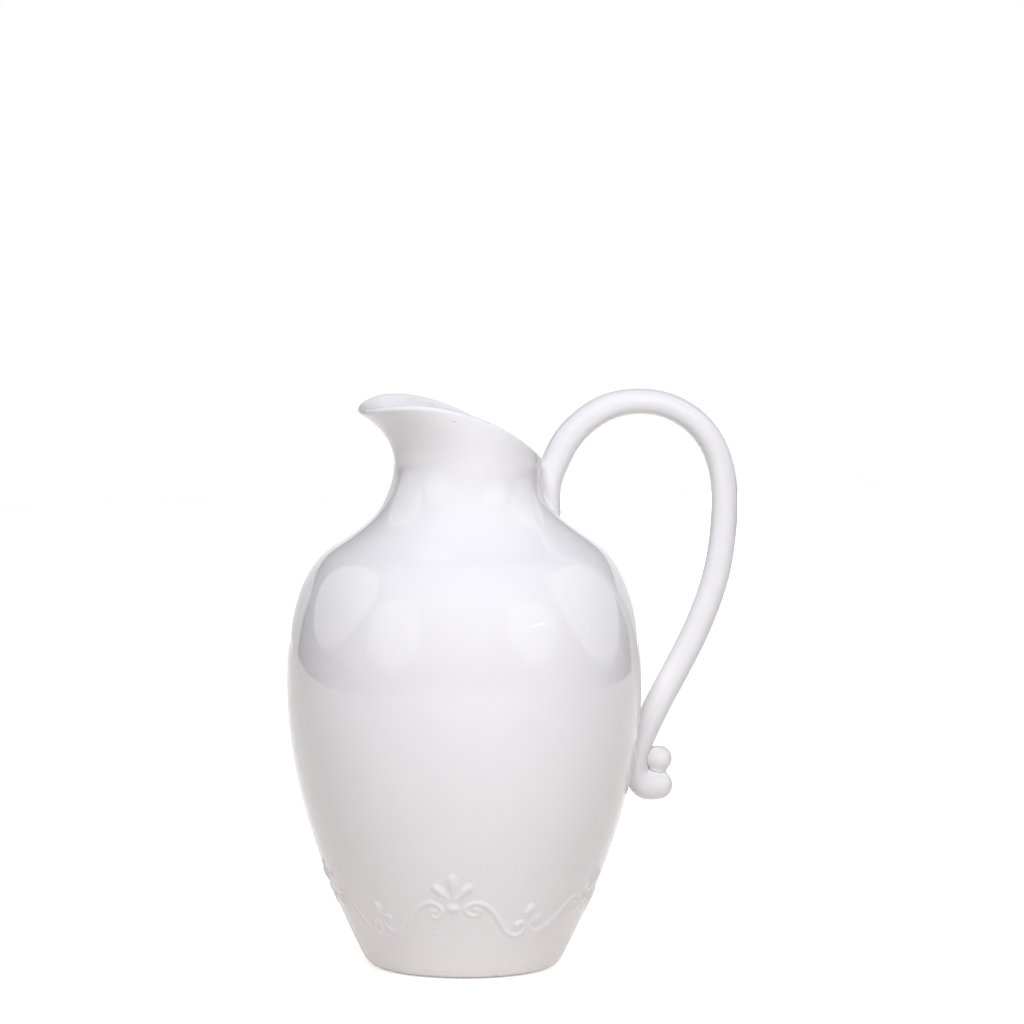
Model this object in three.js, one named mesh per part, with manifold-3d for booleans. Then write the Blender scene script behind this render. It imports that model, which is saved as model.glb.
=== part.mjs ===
// A white porcelain jug, in millimetres, +Z up, the spout towards -X and the handle towards +X.
// A hollow body with a pulled spout carries a looped handle, whose tail curls under a ball,
// and a border of sprigged relief: palmettes, scrolls and buds, repeated round the lower body.
import * as THREE from "three";
import Module from "manifold-3d";

const wasm = await Module();
wasm.setup();

// Driving dimensions of the whole jug
const JUG_HEIGHT = 260;
const BELLY_RADIUS = 80;
const NECK_RADIUS = 32.7;
const FOOT_RADIUS = 36.5;
const SPOUT_REACH = 48;
const RIM_FLARE = 1.9;
const HANDLE_SPAN = 40.8;
const HANDLE_HALF = 6.1;

// Walls and the foot ring
const WALL = 4.2;
const RIM_WALL = 3;
const FLOOR_WALL = 5;
const FOOT_RECESS = 2;
const FOOT_RING_WIDTH = 4.5;
const FOOT_ROUND = 9.5;

// Relief border
const REPEATS = 5;
const RELIEF_HEIGHT = 1;
const STROKE_HALF = 1.2;

// Clearance left between two pieces that were luted together
const SEAM = 0.3;

// Facets
const BODY_SIDES = 52;
const HANDLE_SIDES = 12;
const HANDLE_RINGS = 46;
const RELIEF_SIDES = 4;

// Heights and widths that follow from the driving dimensions
const BELLY_Z = 0.506 * JUG_HEIGHT;
const SHOULDER_Z = 0.731 * JUG_HEIGHT;
const SHOULDER_RADIUS = THREE.MathUtils.lerp(NECK_RADIUS, BELLY_RADIUS, 0.557);
const SHOULDER_PITCH = THREE.MathUtils.degToRad(31.7);
const NECK_Z = 0.881 * JUG_HEIGHT;
const FOOT_FLARE = THREE.MathUtils.degToRad(26.6);
const RIM_RADIUS = NECK_RADIUS + RIM_FLARE;
const RIM_CREST_Z = 0.986 * JUG_HEIGHT;
const RIM_CREST_X = -0.6 * SPOUT_REACH;
const RIM_FALL = 0.103 * JUG_HEIGHT;
const LIP_DROOP = 1.6;
const SPOUT_TILT = THREE.MathUtils.degToRad(58);

// The outer profile, in radius and height: foot, belly, shoulder and neck, joined without a kink
const along = (angle) => new THREE.Vector2(Math.sin(angle), Math.cos(angle));
const step = (from, direction, length) => from.clone().addScaledVector(direction, length);
const footEnd = new THREE.Vector2(
  FOOT_RADIUS + FOOT_ROUND * Math.cos(FOOT_FLARE),
  FOOT_ROUND * (1 - Math.sin(FOOT_FLARE)),
);
const belly = new THREE.Vector2(BELLY_RADIUS, BELLY_Z);
const shoulder = new THREE.Vector2(SHOULDER_RADIUS, SHOULDER_Z);
const neck = new THREE.Vector2(NECK_RADIUS, NECK_Z);
const upwards = along(0);
const inwards = along(SHOULDER_PITCH - Math.PI / 2);
const lowerBody = new THREE.CubicBezierCurve(
  footEnd,
  step(footEnd, along(FOOT_FLARE), 0.3 * (BELLY_Z - footEnd.y)),
  step(belly, upwards, -0.41 * (BELLY_Z - footEnd.y)),
  belly,
);
const upperBody = new THREE.CubicBezierCurve(
  belly,
  step(belly, upwards, 0.46 * (SHOULDER_Z - BELLY_Z)),
  step(shoulder, inwards, -0.283 * (SHOULDER_Z - BELLY_Z)),
  shoulder,
);
const collar = new THREE.CubicBezierCurve(
  shoulder,
  step(shoulder, inwards, 0.565 * (NECK_Z - SHOULDER_Z)),
  step(neck, upwards, -0.507 * (NECK_Z - SHOULDER_Z)),
  neck,
);
// The round profile ends part of the way up the neck, where the rim starts to be pulled
const COLLAR_END = 0.6;
const profile = [
  ...lowerBody.getPoints(60),
  ...upperBody.getPoints(60).slice(1),
  ...collar.getPoints(60).slice(1),
];

// Radius of the outer profile at a height
function outerRadius(z) {
  const above = Math.max(1, profile.findIndex((point) => point.y >= z));
  const [low, high] = [profile[above - 1], profile[above]];
  return THREE.MathUtils.mapLinear(z, low.y, high.y, low.x, high.x);
}

// Height of the top of the rim above a place along the jug: a long fall towards the handle
function rimHeight(x) {
  const back = (x - RIM_CREST_X) / (RIM_RADIUS - RIM_CREST_X);
  const tip = Math.max(0, (RIM_CREST_X - x) / (RIM_CREST_X + SPOUT_REACH));
  return RIM_CREST_Z - RIM_FALL * back ** 2 - LIP_DROOP * tip ** 2;
}

// One line of the pulled neck, from the round collar up to the rim, at an angle round the axis
function pulledLine(turn) {
  const [cos, sin] = [Math.cos(turn), Math.sin(turn)];
  const ring = collar.getPoint(COLLAR_END);
  const slope = collar.getTangent(COLLAR_END);
  const reach = cos < 0 ? SPOUT_REACH : RIM_RADIUS;
  const tilt = SPOUT_TILT * Math.max(0, -cos) ** 1.6;
  const outward = new THREE.Vector2(cos / reach, sin / RIM_RADIUS).normalize();
  const start = new THREE.Vector3(ring.x * cos, ring.x * sin, ring.y);
  const end = new THREE.Vector3(reach * cos, RIM_RADIUS * sin, 0);
  end.z = rimHeight(end.x) - RIM_WALL / 2;
  const climb = end.z - start.z;
  const startWay = new THREE.Vector3(slope.x * cos, slope.x * sin, slope.y);
  const endWay = new THREE.Vector3(outward.x, outward.y, 0).multiplyScalar(Math.sin(tilt));
  endWay.z = Math.cos(tilt);
  return new THREE.CubicBezierCurve3(
    start,
    start.clone().addScaledVector(startWay, climb * (0.4 + 0.25 * Math.max(0, -cos))),
    end.clone().addScaledVector(endWay, -0.25 * climb),
    end,
  );
}

// A point of the outer skin: 0 to 1 lower body, 1 to 2 upper body, 2 to 3 collar, 3 to 4 pulled neck
function skin(turn, course) {
  if (course >= 3) return pulledLine(turn).getPoint(Math.min(1, course - 3));
  const part = Math.min(2, Math.floor(course));
  const share = course - part;
  const flat = [lowerBody, upperBody, collar][part].getPoint(part === 2 ? share * COLLAR_END : share);
  return new THREE.Vector3(flat.x * Math.cos(turn), flat.x * Math.sin(turn), flat.y);
}

// Direction out of the skin
function skinNormal(turn, course) {
  const reach = 1e-3;
  const [low, high] = [Math.max(0, course - reach), Math.min(4, course + reach)];
  const upWay = skin(turn, high).sub(skin(turn, low));
  const roundWay = skin(turn + reach, course).sub(skin(turn - reach, course));
  return roundWay.cross(upWay).normalize();
}

const steps = (from, to, count) =>
  Array.from({ length: count + 1 }, (_, i) => THREE.MathUtils.lerp(from, to, i / count));

// The outline of the wall at one angle, from the middle of the underside, up the outside,
// over the rounded rim and down the inside to the middle of the floor
function wallOutline(turn) {
  const [cos, sin] = [Math.cos(turn), Math.sin(turn)];
  const at = (radius, z) => new THREE.Vector3(radius * cos, radius * sin, z);
  const ringInner = FOOT_RADIUS - FOOT_RING_WIDTH;
  const outline = [
    at(0, FOOT_RECESS),
    at(ringInner - FOOT_RECESS, FOOT_RECESS),
    at(ringInner, 0),
    at(FOOT_RADIUS, 0),
  ];
  for (const share of [0.3, 0.62]) {
    const angle = share * (Math.PI / 2 - FOOT_FLARE);
    outline.push(at(FOOT_RADIUS + FOOT_ROUND * Math.sin(angle), FOOT_ROUND * (1 - Math.cos(angle))));
  }
  const courses = [...steps(0, 1, 8), ...steps(1, 2, 6).slice(1), ...steps(2, 3, 5).slice(1)];
  courses.push(...steps(3, 4, 7).slice(1));
  for (const course of courses) outline.push(skin(turn, course));
  const top = skin(turn, 4);
  const out = skinNormal(turn, 4);
  const up = top.clone().sub(skin(turn, 3.99)).normalize();
  for (const angle of [36, 90, 144].map(THREE.MathUtils.degToRad)) {
    const point = top.clone().addScaledVector(out, (RIM_WALL / 2) * (Math.cos(angle) - 1));
    outline.push(point.addScaledVector(up, (RIM_WALL / 2) * Math.sin(angle)));
  }
  const inside = [...steps(4, 3, 5), ...steps(3, 2, 4).slice(1), ...steps(2, 1, 4).slice(1)];
  inside.push(...steps(1, 0.08, 5).slice(1));
  for (const course of inside) {
    const wall = THREE.MathUtils.lerp(WALL, RIM_WALL, THREE.MathUtils.clamp(course - 3, 0, 1));
    outline.push(skin(turn, course).addScaledVector(skinNormal(turn, course), -wall));
  }
  const last = outline[outline.length - 1];
  const floorZ = FOOT_RECESS + FLOOR_WALL;
  const corner = new THREE.QuadraticBezierCurve(
    new THREE.Vector2(Math.hypot(last.x, last.y), last.z),
    new THREE.Vector2(FOOT_RADIUS + 0.5 * WALL, floorZ),
    new THREE.Vector2(FOOT_RADIUS - 1.5 * WALL, floorZ),
  );
  for (const share of [0.35, 0.7, 1]) {
    const point = corner.getPoint(share);
    outline.push(at(point.x, point.y));
  }
  outline.push(at(0, floorZ));
  return outline;
}

// The outline of the body filled in and grown by the seam, which the luted pieces are cut with
function seatOutline(turn) {
  const outline = [new THREE.Vector3(0, 0, skin(0, 0).z)];
  for (const course of [...steps(0, 1, 10), ...steps(1, 3, 14).slice(1), ...steps(3, 4, 7).slice(1)]) {
    outline.push(skin(turn, course).addScaledVector(skinNormal(turn, course), SEAM));
  }
  const top = outline[outline.length - 1].z + RIM_WALL;
  outline.push(outline[outline.length - 1].clone().setZ(top), new THREE.Vector3(0, 0, RIM_CREST_Z));
  return outline;
}

// A closed body from outlines set round the axis, each running from the axis back to the axis
function turned(outlineAt, sides) {
  const outlines = Array.from({ length: sides }, (_, i) => outlineAt((2 * Math.PI * i) / sides));
  const inner = outlines[0].length - 2;
  const points = [outlines[0][0], outlines[0][inner + 1]];
  for (const outline of outlines) points.push(...outline.slice(1, -1));
  const faces = [];
  for (let i = 0; i < sides; i += 1) {
    const [here, next] = [2 + i * inner, 2 + ((i + 1) % sides) * inner];
    faces.push(0, next, here);
    for (let j = 0; j < inner - 1; j += 1) {
      faces.push(here + j, next + j, next + j + 1, here + j, next + j + 1, here + j + 1);
    }
    faces.push(1, here + inner - 1, next + inner - 1);
  }
  return geometryFrom(points, faces);
}

// A closed body from rings of points set along a path, with a flat cap on each end
function lofted(rings) {
  const count = rings[0].length;
  const points = rings.flat();
  const faces = [];
  for (let i = 0; i < rings.length - 1; i += 1) {
    for (let j = 0; j < count; j += 1) {
      const [a, b] = [i * count + j, i * count + ((j + 1) % count)];
      faces.push(a, b, b + count, a, b + count, a + count);
    }
  }
  const lastRing = (rings.length - 1) * count;
  for (let j = 1; j < count - 1; j += 1) {
    faces.push(0, j + 1, j, lastRing, lastRing + j, lastRing + j + 1);
  }
  return geometryFrom(points, faces);
}

function geometryFrom(points, faces) {
  const geometry = new THREE.BufferGeometry().setFromPoints(points);
  geometry.setIndex(faces);
  return geometry;
}

// Cuts one closed body with others
function cut(geometry, ...tools) {
  const solidOf = (source) =>
    new wasm.Manifold(
      new wasm.Mesh({
        numProp: 3,
        vertProperties: new Float32Array(source.attributes.position.array),
        triVerts: new Uint32Array(source.index.array),
      }),
    );
  const left = tools.reduce((solid, tool) => solid.subtract(solidOf(tool)), solidOf(geometry));
  const mesh = left.getMesh();
  const result = new THREE.BufferGeometry();
  result.setAttribute("position", new THREE.BufferAttribute(new Float32Array(mesh.vertProperties), 3));
  result.setIndex(new THREE.BufferAttribute(new Uint32Array(mesh.triVerts), 1));
  return result;
}

// Stations of the handle: place in the jug's middle plane, half thickness and half width,
// the last two, and how far a place stands off the body, as shares of HANDLE_HALF.
// The tongue lies down the back of the neck, the loop rises above the rim, and the tail
// runs down the belly and curls outwards.
const onBody = (share, proud) => {
  const z = share * JUG_HEIGHT;
  return [outerRadius(z) + proud * HANDLE_HALF, z];
};
const offBelly = (share, height) => [BELLY_RADIUS + share * HANDLE_SPAN, height * JUG_HEIGHT];
const HANDLE_STATIONS = [
  [onBody(0.76, -0.08), 0.25, 0.4],
  [onBody(0.786, 0.38), 0.5, 0.85],
  [onBody(0.815, 0.7), 0.76, 1.15],
  [onBody(0.846, 0.98), 0.94, 1.2],
  [onBody(0.8795, 1.56), 1.03, 1.14],
  [offBelly(-0.79, 0.9175), 1.03, 1.08],
  [offBelly(-0.573, 0.95), 1, 1.04],
  [offBelly(-0.295, 0.973), 0.97, 1.02],
  [offBelly(0.022, 0.9785), 0.935, 1],
  [offBelly(0.337, 0.9715), 0.935, 1],
  [offBelly(0.618, 0.9465), 0.945, 1],
  [offBelly(0.836, 0.911), 0.955, 1],
  [offBelly(0.955, 0.865), 0.96, 1],
  [offBelly(1, 0.815), 0.99, 1.02],
  [offBelly(0.993, 0.765), 1, 1.04],
  [offBelly(0.945, 0.697), 1, 1.05],
  [offBelly(0.866, 0.652), 1, 1.05],
  [offBelly(0.762, 0.606), 1, 1.05],
  [offBelly(0.603, 0.551), 1, 1.05],
  [offBelly(0.31, 0.4685), 1, 1.08],
  [onBody(0.4325, 1.41), 0.98, 1.1],
  [onBody(0.4, 0.97), 0.92, 1.06],
  [onBody(0.369, 0.67), 0.8, 0.98],
  [onBody(0.342, 0.64), 0.72, 0.95],
  [onBody(0.318, 0.98), 0.85, 1],
  [onBody(0.3035, 2), 1.08, 1.1],
  [onBody(0.304, 2.62), 1.1, 1.1],
  [onBody(0.3055, 2.8), 0.95, 1],
];

// The handle as a lofted rod, thicker all over by a clearance
function handleRod(clearance) {
  const path = new THREE.CatmullRomCurve3(
    HANDLE_STATIONS.map(([[x, z]]) => new THREE.Vector3(x, 0, z)),
  );
  const sizes = new THREE.CatmullRomCurve3(
    HANDLE_STATIONS.map(([, thick, wide]) => new THREE.Vector3(thick, wide, 0)),
  );
  const rings = steps(0, 1, HANDLE_RINGS).map((share) => {
    const size = sizes.getPoint(share).multiplyScalar(HANDLE_HALF).addScalar(clearance);
    const way = path.getTangent(share);
    const across = new THREE.Vector3(-way.z, 0, way.x);
    return handleRing(path.getPoint(share), across, size);
  });
  const tip = path.getTangent(1);
  const across = new THREE.Vector3(-tip.z, 0, tip.x);
  for (const angle of [35, 65].map(THREE.MathUtils.degToRad)) {
    const size = sizes.getPoint(1).multiplyScalar(HANDLE_HALF).addScalar(clearance);
    const centre = path.getPoint(1).addScaledVector(tip, size.x * Math.sin(angle));
    rings.push(handleRing(centre, across, size.multiplyScalar(Math.cos(angle))));
  }
  return lofted(rings);
}

function handleRing(centre, across, size) {
  return Array.from({ length: HANDLE_SIDES }, (_, i) => {
    const angle = (2 * Math.PI * i) / HANDLE_SIDES;
    const point = centre.clone().addScaledVector(across, size.x * Math.cos(angle));
    return point.setY(-size.y * Math.sin(angle));
  });
}

// The ball that the tail curls under
function ballGeometry() {
  const radius = 0.97 * HANDLE_HALF;
  const [x, z] = onBody(0.352, 2.33);
  const outline = steps(-1, 1, 9).map((share) => {
    const angle = (share * Math.PI) / 2;
    return new THREE.Vector2(radius * Math.cos(angle), radius * Math.sin(angle));
  });
  const ball = turned((turn) => {
    return outline.map((point, i) => {
      const reach = i === 0 || i === outline.length - 1 ? 0 : point.x;
      return new THREE.Vector3(reach * Math.cos(turn), reach * Math.sin(turn), point.y);
    });
  }, 16);
  return ball.translate(x, 0, z);
}

// The relief border: places are shares of half a repeat round the body and of the border's height
const BORDER_FOOT_Z = 0.077 * JUG_HEIGHT;
const BORDER_HEIGHT = 0.119 * JUG_HEIGHT;
const BORDER_RADIUS = outerRadius(BORDER_FOOT_Z + 0.45 * BORDER_HEIGHT);
const HALF_REPEAT = (Math.PI / REPEATS) * BORDER_RADIUS;

// A point at a height off the body, from a place in the border unrolled flat
function onBorder(turn, place, height) {
  const radius = outerRadius(place.y);
  const reach = 0.002 * JUG_HEIGHT;
  const slope = (outerRadius(place.y + reach) - outerRadius(place.y - reach)) / (2 * reach);
  const lean = Math.hypot(1, slope);
  const angle = turn + place.x / BORDER_RADIUS;
  const distance = radius + height / lean;
  return new THREE.Vector3(
    distance * Math.cos(angle),
    distance * Math.sin(angle),
    place.y - (height * slope) / lean,
  );
}

// A modelled stroke of clay with a flat seat and a round back, its ends rounded off
function stroke(turn, places, halfWidths, rings) {
  const path = new THREE.CatmullRomCurve3(
    places.map(([share, height]) => {
      return new THREE.Vector3(share * HALF_REPEAT, BORDER_FOOT_Z + height * BORDER_HEIGHT, 0);
    }),
  );
  const widths = new THREE.CatmullRomCurve3(
    halfWidths.map((width, i) => new THREE.Vector3(i, width * STROKE_HALF, 0)),
  );
  const length = path.getLength();
  const ends = [0.03, 0.25, 0.7].map((share) => (share * STROKE_HALF) / length);
  const shares = [...ends, ...steps(0, 1, rings).slice(1, -1), ...ends.map((end) => 1 - end).reverse()];
  const sections = shares.filter((share, i) => i === 0 || share > shares[i - 1]).map((share) => {
    const inset = Math.min(1, (Math.min(share, 1 - share) * length) / STROKE_HALF);
    const half = widths.getPoint(share).y * Math.sqrt(1 - (1 - inset) ** 2);
    const centre = path.getPointAt(share);
    const way = path.getTangentAt(share);
    return Array.from({ length: RELIEF_SIDES + 1 }, (_, i) => {
      const angle = Math.PI * (1 - i / RELIEF_SIDES);
      const aside = half * Math.cos(angle);
      const place = new THREE.Vector2(centre.x + way.y * aside, centre.y - way.x * aside);
      const rise = RELIEF_HEIGHT * Math.min(1, half / STROKE_HALF) * Math.sin(angle);
      return onBorder(turn, place, SEAM + rise);
    });
  });
  return lofted(sections);
}

const SCROLL_PLACES = [
  [0.283, 0.44],
  [0.296, 0.37],
  [0.233, 0.33],
  [0.156, 0.42],
  [0.189, 0.535],
  [0.289, 0.58],
  [0.389, 0.505],
  [0.5, 0.385],
  [0.636, 0.21],
  [0.739, 0.095],
  [0.828, 0.042],
  [0.922, 0.085],
  [0.941, 0.195],
  [0.866, 0.246],
];
const SCROLL_WIDTHS = [1.2, 1, 0.95, 1, 1.05, 1.1, 1.1, 1.05, 1.05, 1, 1, 0.95, 1, 1.2];
const mirrored = (places) => places.map(([share, height]) => [-share, height]).reverse();

const porcelain = () =>
  new THREE.MeshStandardMaterial({ color: 0xf2f1ee, roughness: 0.12, metalness: 0 });

const jug = new THREE.Group();
function addPiece(name, geometry) {
  const mesh = new THREE.Mesh(geometry, porcelain());
  mesh.name = name;
  jug.add(mesh);
}

const seat = turned(seatOutline, BODY_SIDES);
addPiece("body", turned(wallOutline, BODY_SIDES));
addPiece("handle", cut(handleRod(0), seat));
addPiece("handle_ball", cut(ballGeometry(), handleRod(SEAM)));
for (let repeat = 1; repeat <= REPEATS; repeat += 1) {
  const turn = Math.PI + (2 * Math.PI * (repeat - 1)) / REPEATS;
  const petal = [0.75, 1.55, 1.5, 1.1, 0.7, 0.5];
  const leftPetal = [[-0.225, 0.825], [-0.145, 0.73], [-0.068, 0.635]];
  const rightPetal = [[0.225, 0.825], [0.145, 0.73], [0.068, 0.635]];
  addPiece(`palmette_${repeat}_petal_centre`, stroke(turn, [[0, 0.975], [0, 0.69]], petal, 8));
  addPiece(`palmette_${repeat}_petal_left`, stroke(turn, leftPetal, petal, 8));
  addPiece(`palmette_${repeat}_petal_right`, stroke(turn, rightPetal, petal, 8));
  addPiece(`palmette_${repeat}_bead`, stroke(turn, [[0, 0.41], [0, 0.54]], [1.2, 1.75, 1.2], 6));
  addPiece(`scroll_${repeat}_right`, stroke(turn, SCROLL_PLACES, SCROLL_WIDTHS, 26));
  addPiece(
    `scroll_${repeat}_left`,
    stroke(turn, mirrored(SCROLL_PLACES), [...SCROLL_WIDTHS].reverse(), 26),
  );
  const half = turn + Math.PI / REPEATS;
  addPiece(`bud_${repeat}`, stroke(half, [[0, 0.52], [0, 0.3]], petal, 8));
}

// The origin is on the table, under the middle of the jug's length
const bounds = new THREE.Box3().setFromObject(jug);
jug.position.set(-(bounds.min.x + bounds.max.x) / 2, 0, -bounds.min.z);

const root = new THREE.Group();
root.add(jug);

export default root;
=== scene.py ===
"""The looks of a white porcelain jug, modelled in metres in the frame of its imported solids."""

import logging
import math
from dataclasses import dataclass, field
from enum import Enum
from functools import lru_cache

import bmesh
import bpy
import numpy as np
from mathutils import Matrix, Vector, noise
from mathutils.bvhtree import BVHTree


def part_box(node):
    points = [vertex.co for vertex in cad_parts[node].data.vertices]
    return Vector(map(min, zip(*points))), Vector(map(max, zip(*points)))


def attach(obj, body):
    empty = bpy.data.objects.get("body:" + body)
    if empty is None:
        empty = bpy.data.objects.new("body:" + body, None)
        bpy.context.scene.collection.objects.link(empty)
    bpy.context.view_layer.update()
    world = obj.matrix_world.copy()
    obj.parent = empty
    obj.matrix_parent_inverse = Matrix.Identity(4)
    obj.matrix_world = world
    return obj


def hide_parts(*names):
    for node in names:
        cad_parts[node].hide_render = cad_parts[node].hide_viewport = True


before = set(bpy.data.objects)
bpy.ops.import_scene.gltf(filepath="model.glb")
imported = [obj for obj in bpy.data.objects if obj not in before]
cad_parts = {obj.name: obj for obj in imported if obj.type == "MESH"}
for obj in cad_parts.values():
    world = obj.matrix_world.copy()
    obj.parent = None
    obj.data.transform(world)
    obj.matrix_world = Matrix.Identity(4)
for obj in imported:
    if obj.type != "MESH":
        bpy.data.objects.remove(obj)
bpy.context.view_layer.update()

BODY = "root"
MM = 0.001
TURN = 2 * math.pi
TINY = 1e-4

LOG = logging.getLogger("jug")


def linear_colour(code: str) -> tuple[float, float, float, float]:
    """Turns an sRGB colour into linear light.

    Args:
        code: six hex digits, such as "f2f1ee".

    Returns:
        Red, green, blue and an alpha of 1.
    """
    shares = [int(code[i : i + 2], 16) / 255 for i in (0, 2, 4)]
    red, green, blue = (s / 12.92 if s <= 0.04045 else ((s + 0.055) / 1.055) ** 2.4 for s in shares)
    return red, green, blue, 1.0


def add_node(
    tree: bpy.types.NodeTree, kind: str, inputs: dict[str | int, object] | None = None, **settings: str
) -> bpy.types.Node:
    """Adds a node with its settings and links.

    Args:
        tree: the node tree of a material or a world.
        kind: the node's type name.
        inputs: values for its sockets, or sockets to link to them, by name or number.
        settings: its other settings.

    Returns:
        The new node.
    """
    node = tree.nodes.new(kind)
    for name, value in settings.items():
        setattr(node, name, value)
    for socket, value in (inputs or {}).items():
        if isinstance(value, bpy.types.NodeSocket):
            tree.links.new(value, node.inputs[socket])
        else:
            node.inputs[socket].default_value = value
    return node


def new_material(name: str) -> tuple[bpy.types.Material, bpy.types.NodeTree]:
    """Starts an empty node material.

    Args:
        name: the real material's name.

    Returns:
        The material and its node tree.
    """
    material = bpy.data.materials.new(name)
    material.use_nodes = True
    material.node_tree.nodes.clear()
    return material, material.node_tree


def start_alone() -> None:
    """Deselects everything, so that the next operator acts on the new piece alone."""
    for piece in bpy.context.selected_objects:
        piece.select_set(False)
    bpy.context.view_layer.objects.active = None


def pick(piece: bpy.types.Object) -> None:
    """Makes a piece the only one that is selected."""
    start_alone()
    piece.select_set(True)
    bpy.context.view_layer.objects.active = piece


def delete_picked(piece: bpy.types.Object, picked: set[int], kind: str) -> None:
    """Deletes a part of a mesh, and leaves the piece in edit mode.

    Args:
        piece: the active piece.
        picked: the numbers of the vertices to select.
        kind: "VERT" for those vertices, "EDGE" for the edges between them.
    """
    bpy.ops.object.mode_set(mode="EDIT")
    bpy.ops.mesh.select_mode(type="VERT")
    bpy.ops.mesh.select_all(action="DESELECT")
    edit = bmesh.from_edit_mesh(piece.data)
    for vertex in edit.verts:
        if vertex.index in picked:
            vertex.select_set(True)
    edit.select_flush_mode()
    bmesh.update_edit_mesh(piece.data)
    bpy.ops.mesh.delete(type=kind)


def on_curve(controls: list[Vector], share: float) -> Vector:
    """A point of a Bezier curve.

    Args:
        controls: its control points.
        share: the place along it, from 0 to 1.

    Returns:
        The point.
    """
    points = list(controls)
    while len(points) > 1:
        points = [a.lerp(b, share) for a, b in zip(points, points[1:])]
    return points[0]


def through(places: list[Vector], share: float) -> Vector:
    """A point of the smooth curve through a list of places, which doesn't swing out between them.

    Args:
        places: what the curve passes through.
        share: the place along it, from 0 at the first to 1 at the last.

    Returns:
        The point.
    """
    last = len(places) - 1
    step = min(int(share * last), last - 1)
    near, far = places[step], places[step + 1]
    before = places[step - 1] if step > 0 else 2 * near - far
    after = places[step + 2] if step + 2 <= last else 2 * far - near
    gaps = [math.sqrt(max((b - a).length, 1e-9)) for a, b in ((before, near), (near, far), (far, after))]
    middle = (far - near) / gaps[1]
    leave = (near - before) / gaps[0] - (far - before) / (gaps[0] + gaps[1]) + middle
    arrive = middle - (after - near) / (gaps[1] + gaps[2]) + (after - far) / gaps[2]
    leave, arrive = leave * gaps[1], arrive * gaps[1]
    t = share * last - step
    square, cube = t * t, t * t * t
    ends = near * (2 * cube - 3 * square + 1) + far * (3 * square - 2 * cube)
    return ends + leave * (cube - 2 * square + t) + arrive * (cube - square)


def shares_between(first: float, last: float, count: int) -> list[float]:
    """Evenly spaced numbers after the first, up to and with the last."""
    return [first + (last - first) * (i + 1) / count for i in range(count)]


def turned(flat: Vector, turn: float) -> Vector:
    """Swings a point of a flat profile round the jug's axis.

    Args:
        flat: the point's radius and height.
        turn: the angle, 0 towards the handle.

    Returns:
        The point.
    """
    return Vector((flat.x * math.cos(turn), flat.x * math.sin(turn), flat.y))


@dataclass(frozen=True)
class PorcelainGlaze:
    """White porcelain under a clear feldspar glaze, poured on and fired glossy.

    To the eye it is a clean cool white with sharp reflections. The white clouds a little over a few
    centimetres where the glaze is thicker, the gloss has the soft ripple of a melted coat, and a few
    pinhead iron specks show, more of them at the edge of the foot.
    """

    name: str = "porcelain_clear_glaze"
    white: str = "f4f3f3"
    cloud: str = "efeeee"
    speck: str = "8d8279"
    cloud_size: float = 38 * MM
    ripple_size: float = 5 * MM
    ripple_depth: float = 0.004 * MM
    speck_spacing: float = 3 * MM
    speck_size: float = 0.42 * MM
    speck_core: float = 0.4
    speck_share: float = 0.004
    foot_speck_share: float = 0.45
    foot_edge: float = 4 * MM
    refraction: float = 1.52
    gloss: tuple[float, float] = (0.02, 0.06)

    def material(self) -> bpy.types.Material:
        """Builds the glaze's node material."""
        material, tree = new_material(self.name)
        place = add_node(tree, "ShaderNodeTexCoord").outputs["Object"]
        clouds = add_node(
            tree,
            "ShaderNodeTexNoise",
            {"Vector": place, "Scale": 1 / self.cloud_size, "Detail": 3.0, "Roughness": 0.55},
        )
        white = add_node(
            tree,
            "ShaderNodeMix",
            {0: clouds.outputs["Fac"], 6: linear_colour(self.white), 7: linear_colour(self.cloud)},
            data_type="RGBA",
        )
        cells = add_node(tree, "ShaderNodeTexVoronoi", {"Vector": place, "Scale": 1 / self.speck_spacing})
        near = add_node(
            tree,
            "ShaderNodeMapRange",
            {
                "Value": cells.outputs["Distance"],
                "From Min": self.speck_core * self.speck_size / self.speck_spacing,
                "From Max": self.speck_size / self.speck_spacing,
                "To Min": 1.0,
                "To Max": 0.0,
            },
        )
        chance = add_node(tree, "ShaderNodeSeparateColor", {"Color": cells.outputs["Color"]})
        height = add_node(tree, "ShaderNodeSeparateXYZ", {0: place})
        share = add_node(
            tree,
            "ShaderNodeMapRange",
            {
                "Value": height.outputs["Z"],
                "From Max": self.foot_edge,
                "To Min": self.foot_speck_share,
                "To Max": self.speck_share,
            },
        )
        chosen = add_node(
            tree,
            "ShaderNodeMath",
            {0: chance.outputs["Red"], 1: share.outputs["Result"]},
            operation="LESS_THAN",
        )
        speckled = add_node(
            tree,
            "ShaderNodeMath",
            {0: near.outputs["Result"], 1: chosen.outputs["Value"]},
            operation="MULTIPLY",
        )
        colour = add_node(
            tree,
            "ShaderNodeMix",
            {0: speckled.outputs["Value"], 6: white.outputs[2], 7: linear_colour(self.speck)},
            data_type="RGBA",
        )
        ripple = add_node(
            tree, "ShaderNodeTexNoise", {"Vector": place, "Scale": 1 / self.ripple_size, "Detail": 1.0}
        )
        bump = add_node(
            tree,
            "ShaderNodeBump",
            {"Height": ripple.outputs["Fac"], "Strength": 1.0, "Distance": self.ripple_depth},
        )
        gloss = add_node(
            tree,
            "ShaderNodeMapRange",
            {"Value": clouds.outputs["Fac"], "To Min": self.gloss[0], "To Max": self.gloss[1]},
        )
        shader = add_node(
            tree,
            "ShaderNodeBsdfPrincipled",
            {
                "Base Color": colour.outputs[2],
                "Roughness": gloss.outputs["Result"],
                "IOR": self.refraction,
                "Normal": bump.outputs["Normal"],
            },
        )
        add_node(tree, "ShaderNodeOutputMaterial", {"Surface": shader.outputs["BSDF"]})
        return material


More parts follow.
